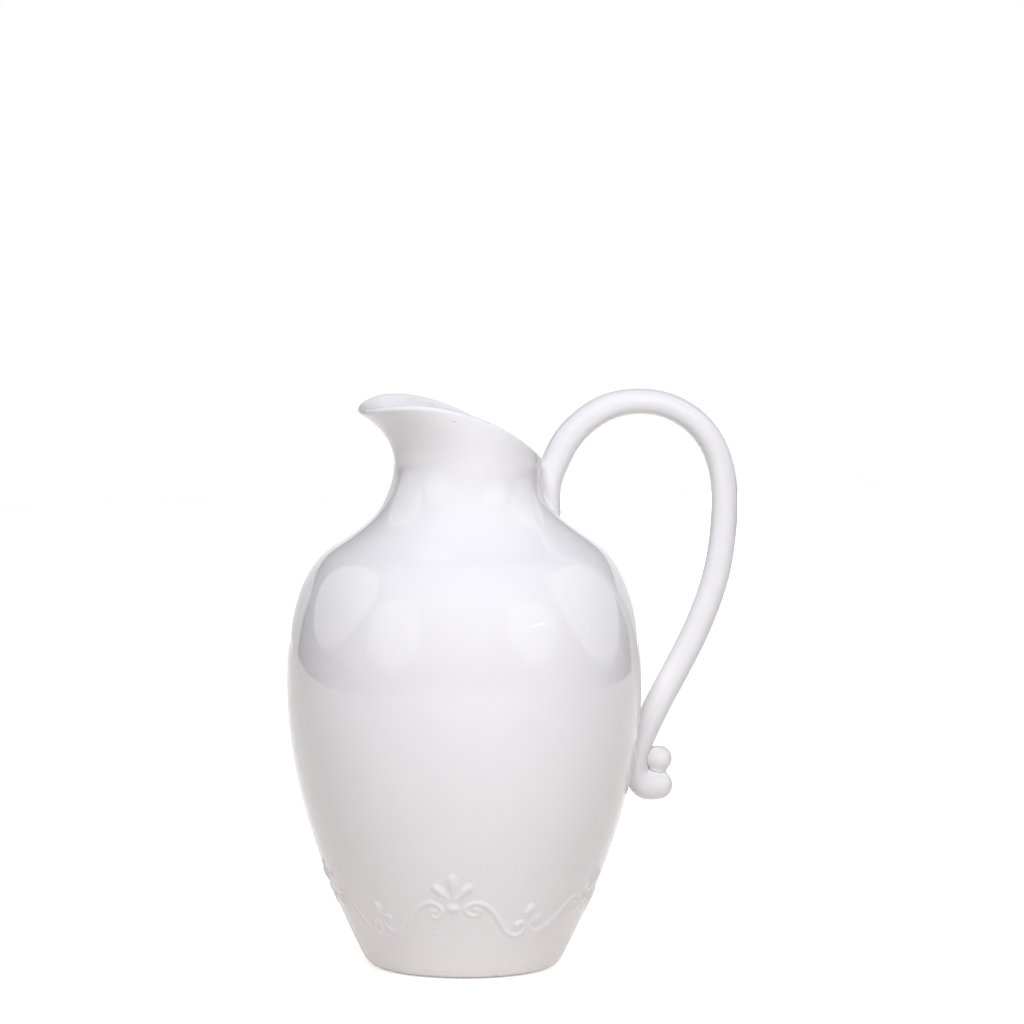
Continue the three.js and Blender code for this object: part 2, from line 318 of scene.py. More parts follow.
@dataclass(frozen=True)
class BiscuitClay:
    """Bare fired porcelain on the foot ring, where the glaze was wiped off before firing. Carried a few rows
    up the foot's outer rounding, its warm colour also stands in for painted warm light from the table at the
    bottom edge.

    To the eye it is a dry, matt, creamy white with a fine sandy grain.
    """

    name: str = "biscuit_porcelain"
    clay: str = "ebe4d8"
    dust: str = "d8cec0"
    grain_size: float = 0.7 * MM
    grain_depth: float = 0.05 * MM
    grain_strength: float = 0.6
    roughness: float = 0.82

    def material(self) -> bpy.types.Material:
        """Builds the bare clay's node material."""
        material, tree = new_material(self.name)
        place = add_node(tree, "ShaderNodeTexCoord").outputs["Object"]
        grain = add_node(
            tree, "ShaderNodeTexNoise", {"Vector": place, "Scale": 1 / self.grain_size, "Detail": 4.0}
        )
        colour = add_node(
            tree,
            "ShaderNodeMix",
            {0: grain.outputs["Fac"], 6: linear_colour(self.clay), 7: linear_colour(self.dust)},
            data_type="RGBA",
        )
        bump = add_node(
            tree,
            "ShaderNodeBump",
            {
                "Height": grain.outputs["Fac"],
                "Strength": self.grain_strength,
                "Distance": self.grain_depth,
            },
        )
        shader = add_node(
            tree,
            "ShaderNodeBsdfPrincipled",
            {
                "Base Color": colour.outputs[2],
                "Roughness": self.roughness,
                "Normal": bump.outputs["Normal"],
            },
        )
        add_node(tree, "ShaderNodeOutputMaterial", {"Surface": shader.outputs["BSDF"]})
        return material


@dataclass
class JugForm:
    """The outer shape of the jug, measured from the table and from the axis of its round body.

    A place is a share of the jug's height. A pull is how far a curve keeps to the direction of its end,
    as a share of the curve's own height.
    """

    axis: Vector
    height: float = 260 * MM
    belly_radius: float = 80 * MM
    neck_radius: float = 32.7 * MM
    foot_radius: float = 36.5 * MM
    foot_round: float = 9.5 * MM
    foot_flare: float = math.radians(26.6)
    shoulder_pitch: float = math.radians(31.7)
    belly_place: float = 0.506
    shoulder_place: float = 0.731
    shoulder_width: float = 0.557
    neck_place: float = 0.881
    crest_place: float = 0.986
    crest_along: float = -0.6
    rim_drop: float = 0.103
    lower_pulls: tuple[float, float] = (0.3, 0.41)
    upper_pulls: tuple[float, float] = (0.46, 0.283)
    collar_pulls: tuple[float, float] = (0.565, 0.507)
    profile_steps: tuple[int, int, int] = (240, 200, 120)
    spout_reach: float = 48 * MM
    spout_tilt: float = math.radians(58)
    spout_onset: float = 1.6
    spout_pull: float = 0.25
    neck_pull: float = 0.4
    rim_pull: float = 0.25
    rim_flare: float = 1.9 * MM
    rim_wall: float = 3 * MM
    lip_droop: float = 1.6 * MM
    collar_end: float = 0.6
    wave_size: float = 46 * MM
    wave_depth: float = 0.07 * MM
    swell: float = 1.8 * MM
    swell_height: float = 12 * MM
    swell_turn: float = math.radians(32)
    swell_place: float = 0.752

    def __post_init__(self) -> None:
        """Works out the profile: foot, belly, shoulder and neck, joined without a kink."""
        belly_z = self.belly_place * self.height
        shoulder_z = self.shoulder_place * self.height
        neck_z = self.neck_place * self.height
        shoulder_radius = self.neck_radius + self.shoulder_width * (self.belly_radius - self.neck_radius)
        self.rim_radius = self.neck_radius + self.rim_flare
        self.crest_z = self.crest_place * self.height
        self.crest_x = self.crest_along * self.spout_reach
        self.rim_fall = self.rim_drop * self.height
        foot = Vector((
            self.foot_radius + self.foot_round * math.cos(self.foot_flare),
            self.foot_round * (1 - math.sin(self.foot_flare)),
        ))
        belly = Vector((self.belly_radius, belly_z))
        shoulder = Vector((shoulder_radius, shoulder_z))
        neck = Vector((self.neck_radius, neck_z))
        up = Vector((0, 1))
        flare = Vector((math.sin(self.foot_flare), math.cos(self.foot_flare)))
        inwards = Vector((-math.cos(self.shoulder_pitch), math.sin(self.shoulder_pitch)))
        low, mid, top = belly_z - foot.y, shoulder_z - belly_z, neck_z - shoulder_z
        leave, arrive = self.lower_pulls
        self.lower_body = [foot, foot + flare * leave * low, belly - up * arrive * low, belly]
        leave, arrive = self.upper_pulls
        self.upper_body = [belly, belly + up * leave * mid, shoulder - inwards * arrive * mid, shoulder]
        leave, arrive = self.collar_pulls
        self.collar = [shoulder, shoulder + inwards * leave * top, neck - up * arrive * top, neck]
        samples = [foot]
        for curve, steps in zip((self.lower_body, self.upper_body, self.collar), self.profile_steps):
            samples += [on_curve(curve, share) for share in shares_between(0, 1, steps)]
        self.profile_heights = np.array([point.y for point in samples])
        self.profile_radii = np.array([point.x for point in samples])
        self.pulled_line = lru_cache(maxsize=None)(self.work_out_pulled_line)

    def outer_radius(self, z: float) -> float:
        """Radius of the outer profile at a height."""
        return float(np.interp(z, self.profile_heights, self.profile_radii))

    def rim_height(self, x: float) -> float:
        """Height of the rim above a place along the jug: a long fall towards the handle."""
        back = (x - self.crest_x) / (self.rim_radius - self.crest_x)
        tip = max(0.0, (self.crest_x - x) / (self.crest_x + self.spout_reach))
        return self.crest_z - self.rim_fall * back**2 - self.lip_droop * tip**2

    def work_out_pulled_line(self, turn: float) -> list[Vector]:
        """One line of the pulled neck, from the round collar up to the rim.

        Args:
            turn: the angle round the axis, 0 towards the handle.

        Returns:
            The control points of its curve.
        """
        cos, sin = math.cos(turn), math.sin(turn)
        towards_spout = max(0.0, -cos)
        ring = on_curve(self.collar, self.collar_end)
        slope = (on_curve(self.collar, self.collar_end + TINY) - ring).normalized()
        reach = self.spout_reach if cos < 0 else self.rim_radius
        tilt = self.spout_tilt * towards_spout**self.spout_onset
        outward = Vector((cos / reach, sin / self.rim_radius)).normalized()
        start = turned(ring, turn)
        end = Vector((reach * cos, self.rim_radius * sin, 0))
        end.z = self.rim_height(end.x) - self.rim_wall / 2
        climb = end.z - start.z
        leave = turned(slope, turn)
        arrive = Vector((outward.x * math.sin(tilt), outward.y * math.sin(tilt), math.cos(tilt)))
        return [
            start,
            start + leave * climb * (self.neck_pull + self.spout_pull * towards_spout),
            end - arrive * self.rim_pull * climb,
            end,
        ]

    def skin(self, turn: float, course: float) -> Vector:
        """A point of the outer skin.

        Args:
            turn: the angle round the axis.
            course: 0 to 1 up the lower body, to 2 the upper body, to 3 the collar, to 4 the pulled neck.

        Returns:
            The point.
        """
        if course >= 3:
            return on_curve(self.pulled_line(turn), min(1.0, course - 3))
        part = min(2, int(course))
        share = course - part
        curve = (self.lower_body, self.upper_body, self.collar)[part]
        return turned(on_curve(curve, share * self.collar_end if part == 2 else share), turn)

    def skin_normal(self, turn: float, course: float) -> Vector:
        """Direction straight out of the skin."""
        reach = 1e-3
        upward = self.skin(turn, min(4.0, course + reach)) - self.skin(turn, max(0.0, course - reach))
        around = self.skin(turn + reach, course) - self.skin(turn - reach, course)
        return around.cross(upward).normalized()

    def wave(self, point: Vector) -> float:
        """How far the hand-finished skin stands off its true shape, most where the tongue was pressed on."""
        above = (point.z - self.swell_place * self.height) / self.swell_height
        aside = math.atan2(point.y, point.x) / self.swell_turn
        pressed = self.swell * math.exp(-(above**2) - aside**2)
        return pressed + self.wave_depth * noise.noise(point / self.wave_size)

    def settle(self, piece: bpy.types.Object) -> None:
        """Moves a piece's mesh from the jug's axis to its place in the frame."""
        piece.data.transform(Matrix.Translation(self.axis))
        piece.data.update()


@dataclass
class JugBody:
    """The hollow body with its foot ring, neck, slanted rim and pulled spout.

    The steps are the numbers of points along each part of the wall's outline.
    """

    form: JugForm
    wall: float = 4.2 * MM
    floor_wall: float = 5 * MM
    foot_recess: float = 2 * MM
    foot_ring_width: float = 4.5 * MM
    recess_edge: tuple[float, ...] = (-1.2, -0.3, -0.6, 0.15)
    underside_shares: tuple[float, ...] = (0, 0.2, 0.4, 0.6, 0.8, 0.93)
    # rows of bare clay past the ring: the first into the recess, the rest up the foot's outer rounding,
    # where the warm bare colour is painted warm glow from the table
    bare_and_glow_rows: tuple[int, int] = (1, 4)
    floor_corner: tuple[float, float] = (0.5, -1.5)
    floor_course: float = 0.08
    rim_course: float = 4.0
    near_rim: float = 3.99
    recess_steps: int = 10
    ring_steps: int = 3
    foot_steps: int = 14
    outside_steps: tuple[int, ...] = (60, 42, 24, 38)
    rim_steps: int = 12
    inside_steps: tuple[int, ...] = (24, 14, 18, 22)
    floor_steps: tuple[int, int] = (12, 6)
    merge: float = 0.01 * MM
    sides: int = 216
    piece: bpy.types.Object | None = None
    bare_and_glow_places: range = range(0)
    skin_places: int = 0

    def outline(self, turn: float) -> list[Vector]:
        """The outline of the wall at one angle. It also notes where the bare ring, with its band of painted
        warm glow up the foot's rounding, and the outside are.

        Args:
            turn: the angle round the axis.

        Returns:
            Points from the middle of the underside, up the outside, over the rim and down to the floor.
        """
        form = self.form
        ring_inner = form.foot_radius - self.foot_ring_width
        recess = self.foot_recess
        edges = [ring_inner + share * recess for share in self.recess_edge]
        flat = [Vector((share * edges[0], recess)) for share in self.underside_shares]
        step = [Vector((edge, z)) for edge, z in zip(edges, (recess, recess, 0, 0))]
        flat += [on_curve(step, share) for share in [0.0, *shares_between(0, 1, self.recess_steps)]]
        ring_start = len(flat) - 1
        flat += [Vector((r, 0)) for r in shares_between(flat[-1].x, form.foot_radius, self.ring_steps)]
        # the bare clay runs a few rows up the foot's outer rounding as a painted warm glow at the bottom
        # edge
        self.bare_and_glow_places = range(ring_start - self.bare_and_glow_rows[0], len(flat) + self.bare_and_glow_rows[1])
        for angle in shares_between(0, math.pi / 2 - form.foot_flare, self.foot_steps):
            rise = form.foot_round * (1 - math.cos(angle))
            flat.append(Vector((form.foot_radius + form.foot_round * math.sin(angle), rise)))
        points = [turned(point, turn) for point in flat]
        for part, steps in enumerate(self.outside_steps):
            points += [form.skin(turn, course) for course in shares_between(part, part + 1, steps)]
        self.skin_places = len(points)
        top = points[-1]
        out = form.skin_normal(turn, self.rim_course)
        up = (top - form.skin(turn, self.near_rim)).normalized()
        half = form.rim_wall / 2
        for angle in shares_between(0, math.pi, self.rim_steps)[:-1]:
            points.append(top + out * half * (math.cos(angle) - 1) + up * half * math.sin(angle))
        inside = [self.rim_course]
        for end, steps in zip((3, 2, 1, self.floor_course), self.inside_steps):
            inside += shares_between(inside[-1], end, steps)
        for course in inside:
            wall = self.wall + (form.rim_wall - self.wall) * max(0.0, course - 3)
            points.append(form.skin(turn, course) - form.skin_normal(turn, course) * wall)
        last = points[-1]
        floor_z = self.foot_recess + self.floor_wall
        corner = [
            Vector((math.hypot(last.x, last.y), last.z)),
            *(Vector((form.foot_radius + share * self.wall, floor_z)) for share in self.floor_corner),
        ]
        floor = [on_curve(corner, share) for share in shares_between(0, 1, self.floor_steps[0])]
        floor += [Vector((r, floor_z)) for r in shares_between(floor[-1].x, 0, self.floor_steps[1])]
        return points + [turned(point, turn) for point in floor]

    def build(self) -> None:
        """Spins the outline of the wall round the axis, then pulls the neck into rim and spout."""
        start_alone()
        wire = self.outline(0)
        bpy.ops.mesh.primitive_circle_add(vertices=len(wire), radius=self.form.belly_radius)
        self.piece = bpy.context.object
        self.piece.name = "jug_body"
        mesh = self.piece.data
        places = mesh.attributes.new("place", "INT", "POINT")
        places.data.foreach_set("value", list(range(len(wire))))
        for vertex, point in zip(mesh.vertices, wire):
            vertex.co = point
        delete_picked(self.piece, {0, len(wire) - 1}, "EDGE")
        bpy.ops.mesh.select_all(action="SELECT")
        bpy.ops.mesh.spin(steps=self.sides, angle=TURN, center=(0, 0, 0), axis=(0, 0, 1))
        bpy.ops.mesh.select_all(action="SELECT")
        bpy.ops.mesh.remove_doubles(threshold=self.merge)
        bpy.ops.mesh.normals_make_consistent(inside=False)
        bpy.ops.object.mode_set(mode="OBJECT")
        self.pull()
        bpy.ops.object.shade_smooth()

    def places(self) -> np.ndarray:
        """Each vertex's place along the outline, by its number."""
        mesh = self.piece.data
        numbers = np.zeros(len(mesh.vertices), dtype=np.int32)
        mesh.attributes["place"].data.foreach_get("value", numbers)
        return numbers

    def pull(self) -> None:
        """Moves each vertex to its place on the pulled form, with the faint unevenness of handwork."""
        mesh = self.piece.data
        outlines = [self.outline(TURN * side / self.sides) for side in range(self.sides)]
        for vertex, row in zip(mesh.vertices, self.places()):
            side = round(math.atan2(vertex.co.y, vertex.co.x) / TURN * self.sides) % self.sides
            vertex.co = outlines[side][row]
        mesh.update()
        normals = [vertex.normal.copy() for vertex in mesh.vertices]
        for vertex, normal in zip(mesh.vertices, normals):
            outside = normal.x * vertex.co.x + normal.y * vertex.co.y > 0
            if outside and vertex.co.z > self.foot_recess + self.floor_wall:
                vertex.co += normal * self.form.wave(vertex.co)
        mesh.update()

    def seat(self) -> BVHTree:
        """The outer skin, which the handle sits on."""
        mesh = self.piece.data
        place = self.places()
        faces = [list(face.vertices) for face in mesh.polygons]
        outer = [face for face in faces if max(place[v] for v in face) < self.skin_places]
        return BVHTree.FromPolygons([v.co.copy() for v in mesh.vertices], outer)

    def dress(self, glaze: bpy.types.Material, biscuit: bpy.types.Material) -> None:
        """Glazes the body all over but for the wiped foot ring and a band up the foot's rounding, where the
        bare clay is painted warm glow from the table.

        Args:
            glaze: the glaze's material.
            biscuit: the bare clay's material, which also serves as painted warm glow at the foot's edge.
        """
        mesh = self.piece.data
        mesh.materials.append(glaze)
        mesh.materials.append(biscuit)
        place = self.places()
        for face in mesh.polygons:
            # bare clay on the ring and, up the foot's rounding, as painted warm glow
            face.material_index = int(all(place[v] in self.bare_and_glow_places for v in face.vertices))
        self.form.settle(self.piece)
        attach(self.piece, BODY)
        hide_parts("body")


def lute(piece: bpy.types.Object, seat: BVHTree, fillet: float, sink: float) -> None:
    """Joins a piece to what it sits on with a wiped fillet of slip.

    Args:
        piece: the piece, whose surface flares out where it comes near its seat.
        seat: the surface that it sits on.
        fillet: the fillet's radius.
        sink: how deep the piece goes into its seat.
    """
    mesh = piece.data
    normals = [vertex.normal.copy() for vertex in mesh.vertices]
    for vertex, normal in zip(mesh.vertices, normals):
        spot, out, _, _ = seat.find_nearest(vertex.co)
        rise = (vertex.co - spot).dot(out)
        if rise <= 0:
            vertex.co = spot - out * sink
        elif rise < fillet:
            aside = normal - out * normal.dot(out)
            flare = fillet - math.sqrt(fillet**2 - (fillet - rise) ** 2)
            vertex.co += aside * flare - out * sink * (1 - rise / fillet)
    mesh.update()


@dataclass
class LoopHandle:
    """The pulled handle, from its tongue on the neck to the tail that curls under a ball."""

    form: JugForm
    span: float = 40.8 * MM
    half: float = 6.1 * MM
    ball_share: float = 0.97
    ball_place: tuple[float, float] = (0.352, 2.33)
    ball_sides: int = 72
    ball_rings: int = 48
    sides: int = 24
    rings: int = 120
    rounding_levels: int = 2
    end_angles: tuple[float, ...] = (15, 30, 44, 57, 69, 79, 87)
    fillet: float = 1.6 * MM
    ball_fillet: float = 2.4 * MM
    cup: float = 3.6 * MM
    cup_top: float = 0.2
    cup_fade: float = 0.7
    evening: float = 0.03
    sink: float = 0.25 * MM
    rod: bpy.types.Object | None = None
    ball: bpy.types.Object | None = None

    def on_body(self, share: float, proud: float) -> Vector:
        """A place off the body: its height as a share of the jug's, its distance in half thicknesses."""
        z = share * self.form.height
        return Vector((self.form.outer_radius(z) + proud * self.half, z))

    def off_belly(self, share: float, height: float) -> Vector:
        """A place of the loop: shares of the handle's span beyond the belly and of the jug's height."""
        return Vector((self.form.belly_radius + share * self.span, height * self.form.height))

    def stations(self) -> list[tuple[Vector, float, float]]:
        """Places along the handle, each with half its thickness and width as shares of the usual half."""
        body, loop = self.on_body, self.off_belly
        return [
            (body(0.778, -0.06), 0.26, 0.5),
            (body(0.786, 0.16), 0.5, 0.78),
            (body(0.801, 0.42), 0.64, 0.98),
            (body(0.823, 0.72), 0.8, 1.15),
            (body(0.846, 0.98), 0.94, 1.2),
            (body(0.8795, 1.56), 1.03, 1.14),
            (loop(-0.79, 0.9175), 1.03, 1.08),
            (loop(-0.573, 0.95), 1, 1.04),
            (loop(-0.295, 0.973), 0.97, 1.02),
            (loop(0.022, 0.9785), 0.935, 1),
            (loop(0.337, 0.9715), 0.935, 1),
            (loop(0.618, 0.9465), 0.945, 1),
            (loop(0.836, 0.911), 0.955, 1),
            (loop(0.955, 0.865), 0.96, 1),
            (loop(1, 0.815), 0.99, 1.02),
            (loop(0.993, 0.765), 1, 1.04),
            (loop(0.945, 0.697), 1, 1.05),
            (loop(0.866, 0.652), 1, 1.05),
            (loop(0.762, 0.606), 1, 1.05),
            (loop(0.603, 0.551), 1, 1.05),
            (loop(0.31, 0.4685), 1, 1.08),
            (body(0.4325, 1.41), 0.98, 1.1),
            (body(0.4, 0.97), 0.92, 1.06),
            (body(0.369, 0.67), 0.8, 0.98),
            (body(0.342, 0.64), 0.72, 0.95),
            (body(0.32, 1.0), 0.92, 1),
            (body(0.307, 1.75), 1.1, 1.08),
            (body(0.306, 2.3), 1.12, 1.1),
            (body(0.3055, 2.72), 1.06, 1.08),
        ]

    def sections(self) -> list[list[Vector]]:
        """Rings of points along the rod, with the rounded end of the tail."""
        stations = self.stations()
        path = [place for place, _, _ in stations]
        sizes = [Vector((thick, wide)) for _, thick, wide in stations]
        spread = 3 / (2 + math.cos(TURN / self.sides))

        def ring(centre: Vector, way: Vector, size: Vector) -> list[Vector]:
            """One ring, widened for what subdivision takes off it."""
            across = Vector((-way.y, way.x))
            points = []
            for side in range(self.sides):
                angle = TURN * side / self.sides
                aside = centre + across * size.x * spread * math.cos(angle)
                points.append(Vector((aside.x, -size.y * spread * math.sin(angle), aside.y)))
            return points

        def evened(share: float) -> Vector:
            """The middle of the rod, with the sway between stations taken out of the loop."""
            sway = self.evening * math.sin(math.pi * share) ** 2
            nearby = [through(path, share + sway * k) for k in (-1, -0.5, 0, 0.5, 1)]
            return sum(nearby, Vector((0, 0))) / len(nearby)

        rings = []
        for share in [0.0, *shares_between(0, 1, self.rings)]:
            way = (evened(min(1, share + TINY)) - evened(max(0, share - TINY))).normalized()
            rings.append(ring(evened(share), way, through(sizes, share) * self.half))
        size = sizes[-1] * self.half
        for angle in (math.radians(degrees) for degrees in self.end_angles):
            rings.append(ring(path[-1] + way * size.x * math.sin(angle), way, size * math.cos(angle)))
        return rings

    def build(self, seat: BVHTree) -> None:
        """Extrudes the rod from ring to ring, then adds the ball and lutes both in place.

        Args:
            seat: the outer skin of the body.
        """
        start_alone()
        rings = self.sections()
        bpy.ops.mesh.primitive_circle_add(vertices=self.sides, radius=self.half, fill_type="NGON")
        self.rod = bpy.context.object
        self.rod.name = "loop_handle"
        side = self.rod.data.attributes.new("side", "INT", "POINT")
        side.data.foreach_set("value", list(range(self.sides)))
        bpy.ops.object.mode_set(mode="EDIT")
        for number, points in enumerate(rings):
            if number > 0:
                bpy.ops.mesh.extrude_region()
            edit = bmesh.from_edit_mesh(self.rod.data)
            layer = edit.verts.layers.int["side"]
            for vertex in edit.verts:
                if vertex.select:
                    vertex.co = points[vertex[layer]]
            bmesh.update_edit_mesh(self.rod.data)
        bpy.ops.mesh.select_all(action="SELECT")
        bpy.ops.mesh.normals_make_consistent(inside=False)
        bpy.ops.object.mode_set(mode="OBJECT")
        self.subdivide(self.rod)
        lute(self.rod, seat, self.fillet, self.sink)
        self.cup_curl()
        bpy.ops.object.shade_smooth()
        self.build_ball()

    def subdivide(self, piece: bpy.types.Object) -> None:
        """Rounds a piece by applied levels of subdivision."""
        rounding = piece.modifiers.new("rounding", "SUBSURF")
        rounding.levels = self.rounding_levels
        rounding.render_levels = self.rounding_levels
        bpy.ops.object.modifier_apply(modifier=rounding.name)

    def ball_centre(self) -> Vector:
        """Where the ball sits in the curl."""
        place = self.on_body(*self.ball_place)
        return Vector((place.x, 0, place.y))

    def cup_curl(self) -> None:
        """Presses the clay of the curl up round the lower half of the ball, so that no gap is left."""
        mesh = self.rod.data
        centre = self.ball_centre()
        radius = self.ball_share * self.half
        for vertex in mesh.vertices:
            out = vertex.co - centre
            gap = out.length - radius
            if -self.sink < gap < self.cup and out.z < self.cup_top * radius:
                below = min(1.0, (self.cup_top * radius - out.z) / (self.cup_fade * radius))
                share = max(0.0, gap / self.cup)
                rest = gap * share**2 * (3 - 2 * share) - self.sink * (1 - share)
                vertex.co -= out.normalized() * (gap - rest) * below
        mesh.update()

    def build_ball(self) -> None:
        """Rolls the ball and presses it into the curl of the tail."""
        mesh = self.rod.data
        faces = [list(face.vertices) for face in mesh.polygons]
        curl = BVHTree.FromPolygons([v.co.copy() for v in mesh.vertices], faces)
        start_alone()
        bpy.ops.mesh.primitive_uv_sphere_add(
            segments=self.ball_sides,
            ring_count=self.ball_rings,
            radius=self.ball_share * self.half,
            location=self.ball_centre(),
        )
        self.ball = bpy.context.object
        self.ball.name = "handle_ball_end"
        bpy.ops.object.transform_apply(location=True, rotation=True, scale=True)
        lute(self.ball, curl, self.ball_fillet, self.sink)
        bpy.ops.object.shade_smooth()

    def dress(self, glaze: bpy.types.Material) -> None:
        """Glazes the rod and the ball and sets them on the frame."""
        for piece, node in ((self.rod, "handle"), (self.ball, "handle_ball")):
            piece.data.materials.append(glaze)
            self.form.settle(piece)
            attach(piece, BODY)
            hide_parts(node)


class Sprig(Enum):
    """The sprigs of one repeat of the border, by the name of their solids."""

    PETAL_CENTRE = "palmette_{}_petal_centre"
    PETAL_LEFT = "palmette_{}_petal_left"
    PETAL_RIGHT = "palmette_{}_petal_right"
    BEAD = "palmette_{}_bead"
    SCROLL_LEFT = "scroll_{}_left"
    SCROLL_RIGHT = "scroll_{}_right"
    BUD = "bud_{}"


@dataclass
class ReliefBorder:
    """The border of sprigged relief round the lower body, under the glaze that softens it."""

    form: JugForm
    repeats: int = 5
    foot_place: float = 0.077
    height_share: float = 0.119
    middle: float = 0.45
    rise: float = 0.5 * MM
    tallest: float = 1.75
    stroke_half: float = 1.95 * MM
    cell: float = 0.3 * MM
    backing: float = 0.5 * MM
    sink: float = 0.03 * MM
    line_steps: int = 160
    slope_reach: float = 0.5 * MM
    smooth_angle: float = math.radians(50)
    pieces: list[bpy.types.Object] = field(default_factory=list)

    def __post_init__(self) -> None:
        """Works out where the border runs."""
        self.foot_z = self.foot_place * self.form.height
        self.height = self.height_share * self.form.height
        self.radius = self.form.outer_radius(self.foot_z + self.middle * self.height)
        self.half_repeat = math.pi / self.repeats * self.radius

    def stroke(self, sprig: Sprig) -> tuple[list[tuple[float, float]], list[float]]:
        """A sprig's centre line and half widths.

        Args:
            sprig: which sprig.

        Returns:
            Places as shares of half a repeat and of the border's height, and shares of the stroke's half.
        """
        left_scroll = [
            (-0.198, 0.43), (-0.248, 0.428), (-0.25, 0.354), (-0.195, 0.322),
            (-0.133, 0.382), (-0.128, 0.461), (-0.179, 0.527), (-0.265, 0.562),
            (-0.36, 0.511), (-0.516, 0.33), (-0.678, 0.169), (-0.825, 0.08),
            (-0.92, 0.112), (-0.955, 0.197), (-0.925, 0.28), (-0.86, 0.285),
        ]
        right_scroll = [
            (0.286, 0.466), (0.331, 0.448), (0.316, 0.386), (0.238, 0.37),
            (0.177, 0.43), (0.191, 0.515), (0.287, 0.562), (0.398, 0.526),
            (0.519, 0.402), (0.619, 0.247), (0.702, 0.12), (0.835, 0.04),
            (0.94, 0.07), (0.965, 0.155), (0.905, 0.234), (0.855, 0.205),
        ]
        scroll_widths = [1.1, 0.85, 0.8, 0.85, 0.9, 1, 1.05, 1.1, 1.05, 1, 0.95, 0.95, 0.9, 0.9, 1, 1.3]
        petal_widths = [1.6, 1.75, 1.35, 0.85, 0.5, 0.35]
        strokes = {
            Sprig.PETAL_CENTRE: ([(0.011, 0.935), (0.018, 0.62)], petal_widths),
            Sprig.PETAL_LEFT: ([(-0.175, 0.79), (-0.09, 0.688), (-0.03, 0.615)], petal_widths),
            Sprig.PETAL_RIGHT: ([(0.197, 0.805), (0.12, 0.696), (0.06, 0.61)], petal_widths),
            Sprig.BEAD: ([(-0.005, 0.477), (0.03, 0.477)], [1.6, 1.65, 1.6]),
            Sprig.SCROLL_LEFT: (left_scroll, scroll_widths),
            Sprig.SCROLL_RIGHT: (right_scroll, scroll_widths),
            Sprig.BUD: ([(0.995, 0.436), (0.985, 0.376)], [1.95, 2, 1.5, 0.9]),
        }
        return strokes[sprig]

    def on_border(self, turn: float, across: float, z: float, off: float) -> Vector:
        """A point of the border.

        Args:
            turn: the angle of the repeat's middle.
            across: the distance from there round the body.
            z: the height.
            off: the distance off the skin.

        Returns:
            The point.
        """
        reach = self.slope_reach
        slope = (self.form.outer_radius(z + reach) - self.form.outer_radius(z - reach)) / (2 * reach)
        angle = turn + across / self.radius
        way = Vector((math.cos(angle), math.sin(angle), -slope)).normalized()
        base = Vector((math.cos(angle), math.sin(angle), 0)) * self.form.outer_radius(z)
        base.z = z
        return base + way * (off + self.form.wave(base))

    def model(self, sprig: Sprig) -> bpy.types.Object:
        """Models one sprig of the first repeat as a soft mound along its stroke.

        Args:
            sprig: which sprig.

        Returns:
            The piece, on the jug's own axis.
        """
        places, widths = self.stroke(sprig)
        line = [Vector((u * self.half_repeat, self.foot_z + v * self.height)) for u, v in places]
        shares = [step / self.line_steps for step in range(self.line_steps + 1)]
        centres = np.array([through(line, share) for share in shares])
        spread = [Vector((width, 0)) for width in widths]
        halves = np.array([through(spread, share).x for share in shares])
        halves *= self.stroke_half
        margin = halves.max() + 2 * self.cell
        low, high = centres.min(axis=0) - margin, centres.max(axis=0) + margin
        columns, rows = (int(math.ceil(length / self.cell)) for length in high - low)
        start_alone()
        bpy.ops.mesh.primitive_grid_add(x_subdivisions=columns, y_subdivisions=rows, size=1)
        piece = bpy.context.object
        piece.name = sprig.value.format(1) + "_glazed"
        mesh = piece.data
        flat = np.zeros(len(mesh.vertices) * 3)
        mesh.vertices.foreach_get("co", flat)
        spots = low + (flat.reshape(-1, 3)[:, :2] + 0.5) * (high - low)
        gaps = np.linalg.norm(spots[:, None, :] - centres[None, :, :], axis=2) / halves
        nearest = gaps.argmin(axis=1)
        nearness = np.clip(1 - gaps[np.arange(len(spots)), nearest] ** 2, 0, 1)
        tallness = np.minimum(self.tallest, halves[nearest] / self.stroke_half)
        rises = (self.rise * tallness + self.sink) * nearness**3 - self.sink
        for vertex, spot, rise in zip(mesh.vertices, spots, rises):
            vertex.co = self.on_border(math.pi, spot[0], spot[1], rise)
        delete_picked(piece, set(np.flatnonzero(nearness <= 0).tolist()), "VERT")
        bpy.ops.mesh.select_all(action="SELECT")
        bpy.ops.mesh.normals_make_consistent(inside=False)
        bpy.ops.object.mode_set(mode="OBJECT")
        self.face_outwards(piece)
        back = piece.modifiers.new("backing", "SOLIDIFY")
        back.thickness = self.backing
        back.offset = -1.0
        bpy.ops.object.modifier_apply(modifier=back.name)
        bpy.ops.object.shade_smooth_by_angle(angle=self.smooth_angle)
        return piece

    def face_outwards(self, piece: bpy.types.Object) -> None:
        """Turns a thin patch's faces away from the jug's axis."""
        face = piece.data.polygons[0]
        if face.normal.dot(Vector((face.center.x, face.center.y, 0))) < 0:
            piece.data.flip_normals()

    def build(self) -> None:
        """Models each sprig once and copies it round the body."""
        for sprig in Sprig:
            first = self.model(sprig)
            self.pieces.append(first)
            for repeat in range(2, self.repeats + 1):
                pick(first)
                bpy.ops.object.duplicate(linked=False)
                copy = bpy.context.object
                copy.name = sprig.value.format(repeat) + "_glazed"
                copy.data.transform(Matrix.Rotation(TURN * (repeat - 1) / self.repeats, 4, "Z"))
                self.pieces.append(copy)

    def dress(self, glaze: bpy.types.Material) -> None:
        """Glazes each sprig and sets it on the frame in place of its solid."""
        for piece in self.pieces:
            piece.data.materials.append(glaze)
            self.form.settle(piece)
            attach(piece, BODY)
            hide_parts(piece.name.removesuffix("_glazed"))


class LampRole(Enum):
    """What a lamp is for."""

    FILL = "lights the surfaces, and is hidden from the gloss"
    PANEL = "shows in the gloss alone"


